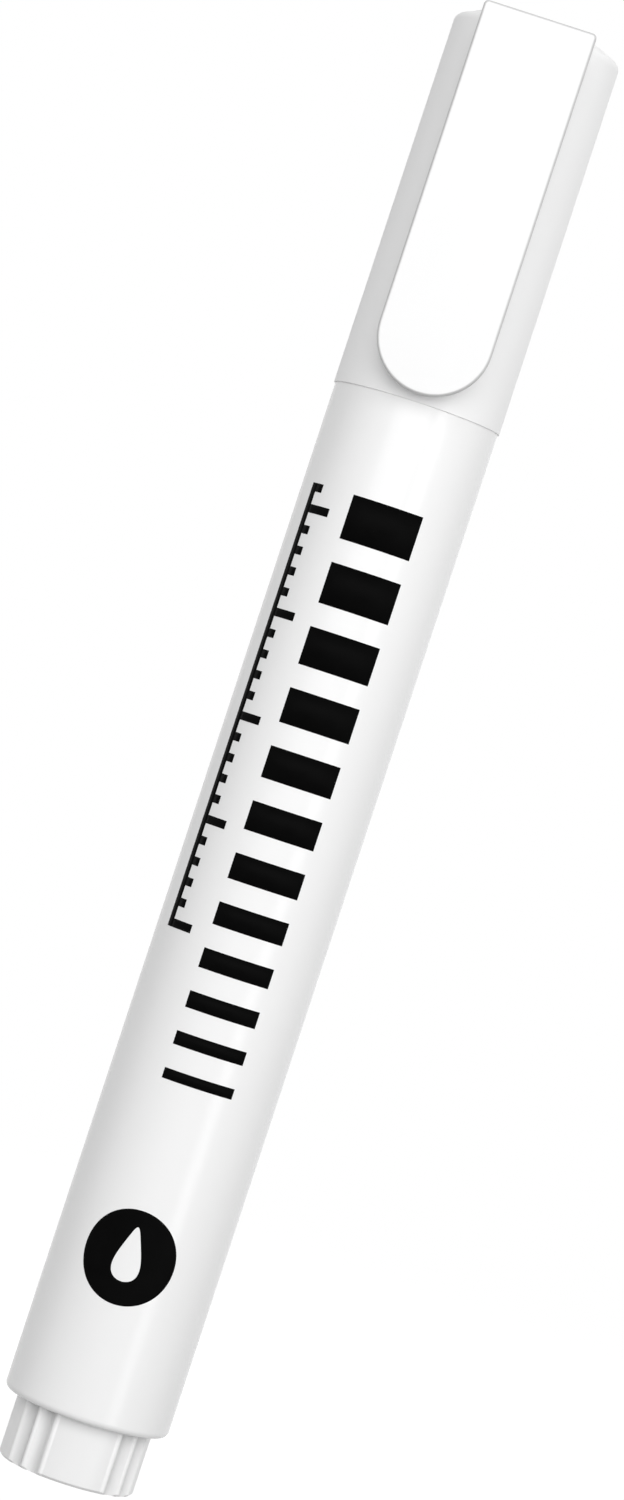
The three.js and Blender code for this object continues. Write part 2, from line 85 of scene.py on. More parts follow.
# %% [markdown]
# The camera
# The photograph was taken from far away with a long lens, level with the middle of the marker, and
# the marker leans to the right in the picture. The marker itself stays upright here, so the camera
# is rolled the other way instead. A camera could be aimed by a constraint, but three written axes
# say exactly what it does: one axis to the right, one up and one back towards the viewer.

# %% Place the camera
lens = 112.8
picture_long_side = 36.0
lean_in_picture = math.radians(18.25)
turn_round_marker = math.radians(2.0)
camera_distance = 435.5
aim_height = 70.8
aim_to_the_right = 0.71

aside = Vector((math.cos(turn_round_marker), math.sin(turn_round_marker), 0))
back = Vector((math.sin(turn_round_marker), -math.cos(turn_round_marker), 0))
upright = Vector((0, 0, 1))
picture_right = math.cos(lean_in_picture) * aside + math.sin(lean_in_picture) * upright
picture_up = -math.sin(lean_in_picture) * aside + math.cos(lean_in_picture) * upright
camera_place = back * camera_distance + aside * aim_to_the_right + upright * aim_height

camera_data = bpy.data.cameras.new("camera")
camera_data.lens = lens
camera_data.sensor_width = picture_long_side
camera_data.clip_start = 0.01
camera_data.clip_end = 20
camera = bpy.data.objects.new("camera", camera_data)
bpy.context.scene.collection.objects.link(camera)
axes = Matrix((picture_right, picture_up, back)).transposed().to_4x4()
camera.matrix_world = Matrix.Translation(camera_place * MM) @ axes
bpy.context.scene.camera = camera
print("camera at", [round(c) for c in camera_place], "mm")


# %% [markdown]
# Node trees written as sums
# A finish is a small calculation on every point of a surface. Wiring it by hand takes a line for
# each wire. With Python's operators overloaded, a sum such as 0.3 + 0.1 * grain adds its own Math
# nodes, and reads the way a person would say it. Every other node comes from one method.

# %% Make the node helpers
class Signal:
    """An output socket that can be used in sums with numbers and other signals."""

    def __init__(self, bench, socket):
        self.bench = bench
        self.socket = socket

    def sum_with(self, operation, first, second):
        """A Math node that works on two numbers or signals."""
        settings = {"operation": operation}
        return self.bench.node("ShaderNodeMath", settings, {0: first, 1: second})

    def __add__(self, other):
        return self.sum_with("ADD", self, other)

    def __radd__(self, other):
        return self.sum_with("ADD", other, self)

    def __sub__(self, other):
        return self.sum_with("SUBTRACT", self, other)

    def __rsub__(self, other):
        return self.sum_with("SUBTRACT", other, self)

    def __mul__(self, other):
        return self.sum_with("MULTIPLY", self, other)

    def __rmul__(self, other):
        return self.sum_with("MULTIPLY", other, self)


class Bench:
    """A node tree being worked on."""

    def __init__(self, tree):
        self.tree = tree

    def feed(self, socket, value):
        """Links a signal to a socket, or sets the socket to a plain value."""
        if isinstance(value, Signal):
            self.tree.links.new(value.socket, socket)
        else:
            socket.default_value = value

    def node(self, kind, settings=None, sockets=None, output=0):
        """Adds a node, sets its settings, then its sockets, and gives one of its outputs."""
        made = self.tree.nodes.new(kind)
        for key, value in (settings or {}).items():
            setattr(made, key, value)
        for key, value in (sockets or {}).items():
            self.feed(made.inputs[key], value)
        return Signal(self, made.outputs[output])

    def larger(self, first, second):
        """The larger of two signals."""
        return self.node("ShaderNodeMath", {"operation": "MAXIMUM"}, {0: first, 1: second})

    def ray(self, kind):
        """1 for rays of one kind and 0 for all others."""
        return self.node("ShaderNodeLightPath", output=f"Is {kind} Ray")


print("node helpers ready")


# %% [markdown]
# Light and surroundings
# The photograph is a studio cut-out: pure white all round, with light from everywhere, a soft key
# near the camera and a broad tall panel to its right, which draws the long soft streak on the gloss
# of the barrel. A weak third lamp behind gives the back some form. A white room could be modelled,
# but a world that looks white to the camera and to shiny surfaces, and gives only plain light to
# everything else, does the same and keeps the object's own light level separate.

# %% Light the world
ambient_level = 0.47
white = (1, 1, 1, 1)

world = bpy.data.worlds.new("studio")
world.use_nodes = True
bpy.context.scene.world = world
sky = Bench(world.node_tree)
seen_or_mirrored = sky.larger(sky.ray("Camera"), sky.ray("Glossy"))
shown_white = sky.larger(seen_or_mirrored, sky.ray("Transmission"))
background = world.node_tree.nodes["Background"]
sky.feed(background.inputs["Color"], white)
sky.feed(background.inputs["Strength"], ambient_level + (1 - ambient_level) * shown_white)
bpy.context.scene.view_settings.view_transform = "Standard"
print("world: white to the camera, level", ambient_level, "as light")

# %% Hang three soft boxes
def soft_box(name, azimuth, elevation, distance, width, height, power, mirrored=True):
    """An area lamp in metres and watts, aimed at the marker's middle.

    The azimuth is counted in degrees from the clip's side towards +X, and the elevation from level.
    A lamp that isn't mirrored lights the marker and draws no glint on it.
    """
    turn, climb = math.radians(azimuth), math.radians(elevation)
    away = Vector((
        math.sin(turn) * math.cos(climb),
        -math.cos(turn) * math.cos(climb),
        math.sin(climb),
    ))
    data = bpy.data.lights.new(name, "AREA")
    data.shape = "RECTANGLE"
    data.size = width
    data.size_y = height
    data.energy = power
    lamp = bpy.data.objects.new(name, data)
    lamp.location = away * distance + upright * aim_height * MM
    lamp.rotation_mode = "QUATERNION"
    lamp.rotation_quaternion = (-away).to_track_quat("-Z", "Y")
    lamp.visible_glossy = mirrored
    bpy.context.scene.collection.objects.link(lamp)
    print(name, "hangs at", [round(side, 2) for side in lamp.location], "m")


soft_box("key_lamp", azimuth=0, elevation=26, distance=1.1, width=1.0, height=1.0, power=7.0)
soft_box("side_panel", azimuth=40, elevation=8, distance=1.2, width=0.32, height=1.6, power=4.2)
soft_box("back_fill", azimuth=160, elevation=10, distance=1.2, width=0.8, height=0.8, power=4.0,
         mirrored=False)


# %% [markdown]
# The floor
# A pale floor lies a plug's length under the marker, so that the end plug can be pulled out in
# the poses without sinking into it. To the camera the floor adds a little of its own light, which
# makes it as white as the world around it and still leaves the marker's shadow on it. From below it
# is see-through, so that the plug's end can be seen, and so it is to reflections, where the white
# world and the side panel's streak run on. Further out it fades into the white world, so that no
# horizon shows. A curved backdrop would hide the horizon as well, but it would stand in the way of
# a view from behind. The floor's half width and the fade are in metres, and its drop is in
# millimetres.

# %% Lay the floor
floor_half = 3.0
floor_drop = 15.0
floor_colour = (0.45, 0.45, 0.45, 1)
floor_glow = 0.74
fade_start = 0.10
fade_end = 0.45

floor_mesh = bpy.data.meshes.new("floor")
floor_signs = [(-1, -1), (1, -1), (1, 1), (-1, 1)]
floor_points = [(x * floor_half, y * floor_half, -floor_drop * MM) for x, y in floor_signs]
floor_mesh.from_pydata(floor_points, [], [(0, 1, 2, 3)])
floor = bpy.data.objects.new("floor", floor_mesh)
bpy.context.scene.collection.objects.link(floor)

floor_material = bpy.data.materials.new("floor_paint")
floor_material.use_nodes = True
floor_bench = Bench(floor_material.node_tree)
floor_material.node_tree.nodes.remove(floor_material.node_tree.nodes["Principled BSDF"])
floor_end = floor_material.node_tree.nodes["Material Output"]
glow = floor_bench.node("ShaderNodeEmission", sockets={
    "Color": white,
    "Strength": floor_glow * floor_bench.ray("Camera"),
})
paint = floor_bench.node("ShaderNodeBsdfDiffuse", sockets={"Color": floor_colour})
lit = floor_bench.node("ShaderNodeAddShader", sockets={0: glow, 1: paint})
clear = floor_bench.node("ShaderNodeBsdfTransparent")
underneath = floor_bench.node("ShaderNodeNewGeometry", output="Backfacing")
floor_place = floor_bench.node("ShaderNodeTexCoord", output="Object")
floor_distance = floor_bench.node(
    "ShaderNodeVectorMath", {"operation": "LENGTH"}, {0: floor_place}, output="Value")
faded = floor_bench.node("ShaderNodeMapRange", {"interpolation_type": "SMOOTHSTEP"}, {
    "Value": floor_distance,
    "From Min": fade_start,
    "From Max": fade_end,
})
unseen = floor_bench.larger(underneath, floor_bench.ray("Glossy"))
see_through = floor_bench.larger(unseen, faded)
both = floor_bench.node("ShaderNodeMixShader", sockets={0: see_through, 1: lit, 2: clear})
floor_bench.feed(floor_end.inputs["Surface"], both)
floor_mesh.materials.append(floor_material)
print("floor laid at", -floor_drop, "mm")


# %% [markdown]
# Finishes
# Moulded plastic is never one flat colour. It has a slow waviness from cooling in the mould, a fine
# grain from the tool's surface, and a sheen that changes a little from place to place. A picture of
# plastic could be laid on, but each piece would have to be unwrapped for it and would show a seam.
# Noise that is worked out from a point's place needs no unwrapping. One recipe makes all the
# plastics of the marker, each with its own colour, sheen and size of grain. The patterns are read
# in Object coordinates, which are metres here, so a grain has its real size. A finished material is
# kept under the name of the CAD record's slot, where the pieces find it.

# %% Write the recipe for moulded plastic
octave_fade = 0.55
wave_size = 6.0
wave_stretch = (1, 1, 0.4)
wave_depth = 0.004
wave_tone = 0.012
wave_sheen = 0.05
grain_sheen = 0.07
finishes = {}


def grain(bench, size, stretch=(1, 1, 1), detail=2.0):
    """Noise whose features are about `size` millimetres across, longer where stretch is small.

    Detail is the number of finer layers. Each keeps octave_fade of the strength before it.
    """
    place = bench.node("ShaderNodeTexCoord", output="Object")
    stretched = bench.node("ShaderNodeMapping", sockets={"Vector": place, "Scale": stretch})
    return bench.node("ShaderNodeTexNoise", sockets={
        "Vector": stretched,
        "Scale": 1 / (size * MM),
        "Detail": detail,
        "Roughness": octave_fade,
    })


def tint(bench, pattern, low_colour, high_colour):
    """A colour between two, following a pattern from 0 to 1.

    A Mix node has sockets for numbers, vectors and colours: 6, 7 and output 2 are for colours.
    """
    settings = {"data_type": "RGBA"}
    sockets = {0: pattern, 6: (*low_colour, 1), 7: (*high_colour, 1)}
    return bench.node("ShaderNodeMix", settings, sockets, output=2)


def relief(bench, height, depth, under=None):
    """Bumps of a real depth in millimetres, laid over an earlier layer if there is one."""
    sockets = {"Height": height, "Distance": depth * MM, "Strength": 1.0}
    if under is not None:
        sockets["Normal"] = under
    return bench.node("ShaderNodeBump", sockets=sockets)


def new_finish(slot, name=None):
    """Makes a material, keeps it under its slot, and gives its bench and its shader."""
    material = bpy.data.materials.new(name or slot)
    material.use_nodes = True
    finishes[slot] = material
    print(slot, "is finished as", material.name)
    return Bench(material.node_tree), material.node_tree.nodes["Principled BSDF"]


def dress(bench, shader, colours, roughness, bumps):
    """Feeds the three sockets that every finish varies."""
    bench.feed(shader.inputs["Base Color"], colours)
    bench.feed(shader.inputs["Roughness"], roughness)
    bench.feed(shader.inputs["Normal"], bumps)


def shaded(colour, change):
    """The same colour, lighter or darker by a share."""
    return tuple(min(1.0, channel * (1 + change)) for channel in colour)


def moulded(slot, name, colour, roughness, grain_size, grain_depth, painted_shade_share=0.0):
    """Plastic with a cooling wave, a tool grain and a sheen that wanders with both.

    The grain's size and depth are in millimetres, and the roughness is the sheen's middle value.
    The last argument is the colour's share lost to painted shade where attribute `shade` is 1.
    """
    bench, shader = new_finish(slot, name)
    wave = grain(bench, wave_size, stretch=wave_stretch)
    fine = grain(bench, grain_size, detail=3.0)
    # Where the point attribute `shade` is set, the colour is darkened there as painted shade.
    light = wave
    if painted_shade_share:
        shade = bench.node("ShaderNodeAttribute", {"attribute_name": "shade"}, output="Fac")
        tone_range = painted_shade_share + 2 * wave_tone
        light = (painted_shade_share * (1 - shade) + 2 * wave_tone * wave) * (1 / tone_range)
    dark, bright = shaded(colour, -wave_tone - painted_shade_share), shaded(colour, wave_tone)
    smoothest = roughness - (wave_sheen + grain_sheen) / 2
    sheen = smoothest + wave_sheen * wave + grain_sheen * fine
    bumps = relief(bench, fine, grain_depth, under=relief(bench, wave, wave_depth))
    dress(bench, shader, tint(bench, light, dark, bright), sheen, bumps)


moulded("barrel_plastic", "barrel_gloss", (0.91, 0.91, 0.91),
        roughness=0.23, grain_size=0.5, grain_depth=0.0004)
moulded("plug_plastic", "plug_satin", (0.96, 0.96, 0.96),
        roughness=0.34, grain_size=0.18, grain_depth=0.0022, painted_shade_share=0.22)
moulded("nose_plastic", "nose_satin", (0.86, 0.86, 0.84),
        roughness=0.42, grain_size=0.2, grain_depth=0.002)
moulded("valve_plastic", "valve_natural", (0.80, 0.80, 0.77),
        roughness=0.45, grain_size=0.2, grain_depth=0.002)
moulded("cap_plastic", "cap_frosted", (0.93, 0.93, 0.93),
        roughness=0.46, grain_size=0.16, grain_depth=0.003)
moulded("clip_plastic", "clip_smooth", (0.90, 0.90, 0.90),
        roughness=0.42, grain_size=0.5, grain_depth=0.0006, painted_shade_share=0.36)


# %% [markdown]
# Felt, rubber, steel and ink
# The nib is pressed felt: fibres that run along it, so its noise is drawn out along Z. The rubber
# seal is dull with a faint bloom. Spring wire and ball are bare steel, told apart by their marks:
# the wire has drawing lines, the ball a haze of fine rolling scratches. The print is a dry film of
# ink with small dull patches where it went on thinner. The recipe for plastic could be stretched to
# fit them, but each of them looks right through a pattern of its own that moves its colour and its
# sheen together. So felt, rubber, steel and ink have a short recipe each.

# %% Mix the other finishes
def between(low, high, pattern):
    """A number that runs from low to high as a pattern runs from 0 to 1."""
    return low + (high - low) * pattern


def felt(dark, pale, smooth, rough, fibre_size, fibre_depth, stretch, clump_size, fibre_share):
    """Fibre noise drawn out along the nib, in the colour and in the relief."""
    bench, shader = new_finish("nib_felt")
    fibre = grain(bench, fibre_size, stretch=stretch, detail=4.0)
    clump = grain(bench, clump_size)
    colours = tint(bench, fibre_share * fibre + (1 - fibre_share) * clump, dark, pale)
    dress(bench, shader, colours, between(smooth, rough, fibre), relief(bench, fibre, fibre_depth))


def rubber(black, grey, smooth, rough, bloom_size, pore_size, pore_depth):
    """Dull black with a grey bloom in patches, which are rougher too."""
    bench, shader = new_finish("seal_rubber")
    bloom = grain(bench, bloom_size, detail=4.0)
    pores = relief(bench, grain(bench, pore_size), pore_depth)
    dress(bench, shader, tint(bench, bloom, black, grey), between(smooth, rough, bloom), pores)


def steel(slot, dark, bright, smooth, rough, mark_size, mark_depth, stretch=(1, 1, 1)):
    """Bare steel with marks of one size, drawn out as the tool left them."""
    bench, shader = new_finish(slot)
    marks = grain(bench, mark_size, stretch=stretch, detail=4.0)
    colours = tint(bench, marks, dark, bright)
    dress(bench, shader, colours, between(smooth, rough, marks), relief(bench, marks, mark_depth))
    bench.feed(shader.inputs["Metallic"], 1.0)


def ink(black, grey, smooth, rough, film_size, film_share, screen_size, screen_depth, shine):
    """A dry black film, a little uneven in sheen, with a faint screen grain."""
    bench, shader = new_finish("print_ink")
    film = grain(bench, film_size, detail=3.0)
    screen = grain(bench, screen_size)
    roughness = between(smooth, rough, film_share * film + (1 - film_share) * screen)
    colours = tint(bench, film, black, grey)
    dress(bench, shader, colours, roughness, relief(bench, screen, screen_depth))
    bench.feed(shader.inputs["Specular IOR Level"], shine)


felt(dark=(0.74, 0.73, 0.68), pale=(0.93, 0.92, 0.88), smooth=0.82, rough=0.97,
     fibre_size=0.12, fibre_depth=0.03, stretch=(1, 1, 0.12), clump_size=1.2, fibre_share=0.6)
rubber(black=(0.025, 0.025, 0.026), grey=(0.075, 0.074, 0.072), smooth=0.6, rough=0.85,
       bloom_size=0.8, pore_size=0.1, pore_depth=0.004)
steel("spring_steel", dark=(0.50, 0.51, 0.53), bright=(0.72, 0.73, 0.75), smooth=0.22, rough=0.40,
      mark_size=0.15, mark_depth=0.001, stretch=(1, 1, 3))
steel("ball_steel", dark=(0.62, 0.63, 0.65), bright=(0.80, 0.81, 0.82), smooth=0.10, rough=0.28,
      mark_size=0.4, mark_depth=0.001)
ink(black=(0.001, 0.001, 0.001), grey=(0.003, 0.003, 0.003), smooth=0.34, rough=0.58,
    film_size=1.6, film_share=2 / 3, screen_size=0.12, screen_depth=0.002, shine=0.02)


# %% [markdown]
# Surfaces from grids
# Almost every piece of a pen is turned: an outline of radius and height carried once round the
# axis. Blender can do that with its Screw modifier or with Spin, but working the points out as one
# numpy array is quick, exact and leaves the seam closed. A grid of points becomes a skin of quads.
# Where a whole row meets at the axis, its points are merged, so poles are closed too. Points merge
# within 0.0001 mm of each other, far less than any detail here.

# %% Build a skin from a grid of points
merge_within = 1e-7
crease_above = math.radians(38)


def skin(name, points, rows_close=True, columns_close=True, shade=None):
    """A mesh object from points[row, column], in millimetres.

    Each quad takes its corners from two neighbouring rows and columns, in the order that faces out
    when rows climb the outer side and columns go round towards +Y from +X. The shade, a number for
    each point, is kept as a point attribute that the finish can read as painted shade.
    """
    rows, columns = points.shape[:2]
    index = np.arange(rows * columns).reshape(rows, columns)
    if rows_close:
        index = np.concatenate([index, index[:1]], axis=0)
    if columns_close:
        index = np.concatenate([index, index[:, :1]], axis=1)
    quads = np.stack([index[:-1, :-1], index[:-1, 1:], index[1:, 1:], index[1:, :-1]], axis=-1)
    mesh = bpy.data.meshes.new(name)
    mesh.from_pydata(points.reshape(-1, 3) * MM, [], quads.reshape(-1, 4).tolist())
    if shade is not None:
        kept = mesh.attributes.new("shade", "FLOAT", "POINT")
        kept.data.foreach_set("value", shade.ravel())
    body = bmesh.new()
    body.from_mesh(mesh)
    bmesh.ops.remove_doubles(body, verts=body.verts, dist=merge_within)
    body.to_mesh(mesh)
    body.free()
    mesh.polygons.foreach_set("use_smooth", np.ones(len(mesh.polygons), bool))
    mesh.set_sharp_from_angle(angle=crease_above)
    piece = bpy.data.objects.new(name, mesh)
    bpy.context.scene.collection.objects.link(piece)
    return piece


print("grid skins ready")


# %% [markdown]
# Outlines with rounded corners
# A moulded edge always has a small radius, and that radius is what catches the light. A Bevel
# modifier could round the edges, but then each radius would be hidden in an edge's weight. Here an
# outline is written as its corners, each with the radius of its rounding. The rounding is an arc
# between the two straight sides. A holding point is put just before and after it, so that smooth
# shading bends only round the arc and the long straight sides stay straight.

# %% Round an outline's corners
hold = 0.05
arc_steps = 5


def rounded_corner(place, before, after, rounding):
    """An arc in place of one corner, with a holding point before and after it.

    The arc touches both sides at rounding / tan(half the corner's angle) from the corner, and its
    points swing round a centre on the corner's bisector.
    """
    first = (before - place) / np.linalg.norm(before - place)
    second = (after - place) / np.linalg.norm(after - place)
    half = math.acos(np.clip(first @ second, -1, 1)) / 2
    touch = rounding / math.tan(half)
    bisector = (first + second) / np.linalg.norm(first + second)
    centre = place + bisector * rounding / math.sin(half)
    start = place + first * touch - centre
    end = place + second * touch - centre
    swing = math.atan2(start[0] * end[1] - start[1] * end[0], start @ end)
    turns = np.linspace(0, swing, arc_steps + 1)[:, None]
    sideways = np.array([-start[1], start[0]])
    arc = centre + start * np.cos(turns) + sideways * np.sin(turns)
    return np.vstack([arc[0] + first * hold, arc, arc[-1] + second * hold])


def rounded(corners, closed=True):
    """Points along an outline of (radius, height, rounding) corners, in millimetres.

    A rounding of 0 keeps the corner, and so do the two ends of an outline that isn't closed.
    """
    places = np.array([corner[:2] for corner in corners], float)
    before = np.roll(places, 1, axis=0)
    after = np.roll(places, -1, axis=0)
    points = []
    for index, (_, _, rounding) in enumerate(corners):
        is_end = not closed and index in (0, len(corners) - 1)
        if is_end or rounding == 0:
            points.append(places[index])
        else:
            points.append(rounded_corner(places[index], before[index], after[index], rounding))
    return np.vstack(points)


def round_axis(radius, turns, height):
    """A grid of points round the axis: x = radius * cos(turn), y = radius * sin(turn)."""
    x, y = radius * np.cos(turns), radius * np.sin(turns)
    return np.stack([x, y, np.broadcast_to(height, x.shape)], axis=-1)


def turned(name, outline, columns, closed=True):
    """A piece made by carrying an outline of (radius, height) points once round the axis."""
    turns = np.linspace(0, 2 * math.pi, columns, endpoint=False)
    points = round_axis(outline[:, :1], turns, outline[:, 1:])
    return skin(name, points, rows_close=closed)


def fit(piece, body, slot, *nodes):
    """Gives a piece its body, its slot's finish and the CAD nodes that it stands for."""
    piece.data.materials.append(finishes[slot])
    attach(piece, body)
    if nodes:
        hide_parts(*nodes)
    print(f"{piece.name}: {len(piece.data.polygons)} faces, rides on {body}")


print("outlines, turning and fitting ready")


# %% [markdown]
# The barrel
# The barrel is one tube: a rounded tail edge that throws a bright lip, a long gloss wall, and above
# the shoulder a slimmer neck with a snap ring that the cap clicks over. Solidify could give a plain
# skin its wall, but the inside of the barrel has steps of its own. So the barrel is a single closed
# outline, drawn up the outside and down the inside, and its wall has its real thickness.

# %% Turn the barrel
tail_bore = 6.85
barrel_bore = 6.45
tail_edge = 0.6
neck_radius = 6.55
neck_bore = 5.45
neck_root = 2.0
snap_ring = 0.15
snap_ring_rise = 3.0
snap_ring_half = 0.45
snap_ring_height = shoulder + snap_ring_rise
neck_bore_start = shoulder - neck_root
counterbore_top = plug_top + rest_gap

barrel_outline = rounded([
    (tail_bore, tail_rim, 0.1),
    (barrel_radius, tail_rim, tail_edge),
    (barrel_radius, shoulder, 0.01),
    (neck_radius, shoulder, 0.1),
    (neck_radius, snap_ring_height - snap_ring_half, 0.2),
    (neck_radius + snap_ring, snap_ring_height, 0.3),
    (neck_radius, snap_ring_height + snap_ring_half, 0.2),
    (neck_radius, neck_top, 0.4),
    (neck_bore, neck_top, 0.1),
    (neck_bore, neck_bore_start, 0.2),
    (barrel_bore, neck_bore_start - (barrel_bore - neck_bore), 0.3),
    (barrel_bore, counterbore_top, 0.05),
    (tail_bore, counterbore_top, 0.05),
])
barrel_skin = turned("barrel_skin", barrel_outline, columns=192)
fit(barrel_skin, "barrel", "barrel_plastic", "barrel")


# %% [markdown]
# The end plug
# The plug is the marker's most worked piece: four groups of three thin ribs with hollow flutes
# between them, a bevelled end, and above it the skirt with two seal beads that grips the barrel.
# The ribs could be modelled one by one and joined, but here the turned outline's radius is simply
# made to depend on the angle as well: it swells at a rib and dips in a flute. Each point also gets
# a shade number, read by the plug's finish as painted shade. It makes the panels between the ribs
# a little darker than the rib crests and the flutes darkest, as strongly as in the photograph, so
# the crests stand out as a painted highlight.

# %% Shape the plug's ribs and flutes
plug_panel = 6.5
rib_proud = 0.1
rib_half = 0.25
flute_depth = 0.55
rib_pitch = math.radians(17.5)
groups = 4
group_offset = math.radians(35.5)
group_turn = clip_side - group_offset
plug_skirt = 6.7
plug_bore = 4.75
plug_floor = 1.4
end_bevel = 0.25
shoulder_recess = 1.2
plug_shoulder = tail_rim + shoulder_recess
bead_half = 0.3
bead_count = 2
bead_pitch = (plug_top - plug_shoulder) / (bead_count + 1)


def rib_form(turns):
    """How far the plug's wall stands out at each turn, as ribs and as flutes, in millimetres.

    The turn is folded into one group and measured as an arc from the group's middle rib. A rib is
    a half wave of the cosine over its width. A flute is a parabola between two ribs.
    """
    group_width = 2 * math.pi / groups
    folded = (turns - group_turn + group_width / 2) % group_width - group_width / 2
    nearest_rib = np.clip(np.round(folded / rib_pitch), -1, 1) * rib_pitch
    from_rib = np.abs(folded - nearest_rib) * plug_panel
    rib = rib_proud * np.cos(np.clip(from_rib / rib_half, 0, 1) * math.pi / 2)
    flute_half = rib_pitch * plug_panel / 2 - rib_half
    from_flute = np.abs(np.abs(folded) - rib_pitch / 2) * plug_panel
    flute = flute_depth * (1 - np.clip(from_flute / flute_half, 0, 1) ** 2)
    return rib, flute


print("rib stands", rib_proud, "mm proud, flute is", flute_depth, "mm deep")

# %% Turn the plug
painted_panel_shade = 0.3
plug_columns = 720
bead_corners = []
for bead in range(1, bead_count + 1):
    middle = plug_shoulder + bead * bead_pitch
    bead_corners += [
        (plug_skirt, middle - bead_half, 0.1),
        (plug_skirt_crest, middle, 0.1),
        (plug_skirt, middle + bead_half, 0.1),
    ]
plug_outline = rounded([
    (0, plug_foot, 0),
    (plug_panel - end_bevel, plug_foot, 0.06),
    (plug_panel, plug_foot + end_bevel, 0.06),
    (plug_panel, plug_shoulder, 0.04),
    (plug_skirt, plug_shoulder, 0.04),
    *bead_corners,
    (plug_skirt, plug_top - end_bevel, 0.1),
    (plug_skirt - end_bevel, plug_top, 0.1),
    (plug_bore, plug_top, 0.1),
    (plug_bore, plug_floor, 0.4),
    (0, plug_floor, 0),
], closed=False)
plug_turns = np.linspace(0, 2 * math.pi, plug_columns, endpoint=False)
rib, flute = rib_form(plug_turns)
plain, level = plug_outline[:, :1], plug_outline[:, 1:]
outer_side = plain > (plug_bore + plug_panel) / 2
shows = outer_side & (level > plug_foot) & (level < plug_shoulder - hold)
ribbed = np.minimum(plain + rib, plug_panel + rib - flute)
plug_radius = np.where(shows, ribbed, plain)
# Painted shade: a little on the panels, most in the flutes, none on the rib crests.
painted_off_ribs = painted_panel_shade * (1 - rib / rib_proud)
painted_in_flutes = (1 - painted_panel_shade) * flute / flute_depth
plug_painted_shade = np.where(shows, painted_off_ribs + painted_in_flutes, painted_panel_shade)
plug_points = round_axis(plug_radius, plug_turns, level)
plug_skin = skin("plug_skin", plug_points, rows_close=False, shade=plug_painted_shade)
fit(plug_skin, "plug", "plug_plastic", "tail_plug")


# %% [markdown]
# The cap
# The cap is a slightly tapered frosted tube. Its top edge is rounded, its bore has a groove for the
# snap ring, and a slot at the top lets the clip's root in. A Boolean could cut the slot, but it
# tends to leave long thin faces that shade badly, so the slot is part of the grid. It has flat
# sides, and the columns of the grid are fanned out from them: whatever the radius, one column
# always lies at the same distance from the middle. Inside the slot every point above its floor is
# pushed down to the floor, and the merged points leave a clean wall on each side.

# %% Turn the cap with its clip slot
cap_bore = 6.85
cap_taper = 0.05
cap_edge = 0.8
rim_gap = 0.004
crown_top = reach("crown_plug")[2]
crown_thick = 1.2
tongue_thick = 1.4
tongue_top = crown_top - crown_thick - rest_gap
tongue_under = tongue_top - tongue_thick
slot_floor = tongue_under - rest_gap
tongue_half = 3.0
slot_half = tongue_half + rest_gap
groove_depth = 0.15
groove_half = 0.9
slot_columns = 24
wall_columns = 180

cap_outline = rounded([
    (cap_bore, shoulder + rim_gap, 0.1),
    (cap_radius, shoulder + rim_gap, 0.03),
    (cap_radius - cap_taper, cap_top, cap_edge),
    (cap_bore, cap_top, 0.06),
    (cap_bore, snap_ring_height + groove_half, 0.3),
    (cap_bore + groove_depth, snap_ring_height, 0.4),
    (cap_bore, snap_ring_height - groove_half, 0.3),
])


def with_height(outline, height):
    """The closed outline with an extra point wherever a side crosses that height.

    An extra point is numbered half-way between its neighbours, and sorting puts it in its place.
    """
    following = np.roll(outline, -1, axis=0)
    crossing = (outline[:, 1] - height) * (following[:, 1] - height) < 0
    start, end = outline[crossing], following[crossing]
    share = (height - start[:, 1:]) / (end[:, 1:] - start[:, 1:])
    order = np.concatenate([np.arange(len(outline)), np.flatnonzero(crossing) + 0.5])
    return np.vstack([outline, start + (end - start) * share])[np.argsort(order)]


cap_outline = with_height(cap_outline, slot_floor)
cap_wall = cap_outline[:, :1]
slot_edge = np.arcsin(slot_half / cap_wall)
in_slot = np.linspace(-1, 1, slot_columns)[None, :] * slot_edge
in_wall = slot_edge + np.linspace(0, 1, wall_columns)[None, :] * (2 * math.pi - 2 * slot_edge)
cap_turns = clip_side + np.concatenate([in_slot, in_wall], axis=1)
cap_height = np.broadcast_to(cap_outline[:, 1:], cap_turns.shape).copy()
cap_height[:, :slot_columns] = np.minimum(cap_height[:, :slot_columns], slot_floor)
cap_skin = skin("cap_skin", round_axis(cap_wall, cap_turns, cap_height))
fit(cap_skin, "cap", "cap_plastic", "cap_shell")


# %% [markdown]
# The clip
# The clip is a flat blade with a round tip and small top corners. Its edge is rounded all the way
# round, and the rounding's own shading draws part of the thin grey line that frames it in the
# photograph. The rest of that line is painted shade: a shade number on the edge's points darkens
# the finish there, fully at the outline and less towards the flats. A flat curve could be extruded
# and bevelled into such a blade, but its front would be dead flat, and this one is crowned by a
# hair. So the surface is a loop that starts on the middle line of the back, spreads to the
# outline, goes over the rounded edge and closes on the middle line of the front.

# %% Build the clip's blade
clip_low, clip_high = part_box("clip")
clip_half = clip_high.x / MM
clip_tip = clip_low.z / MM
clip_top = clip_high.z / MM
clip_front = clip_low.y / MM
clip_thick = 1.3
clip_back = clip_front + clip_thick
clip_edge = 0.25
clip_corner = 0.45
clip_crown = 0.05
side_points = 40
tip_points = 48
corner_points = 8
edge_steps = 5


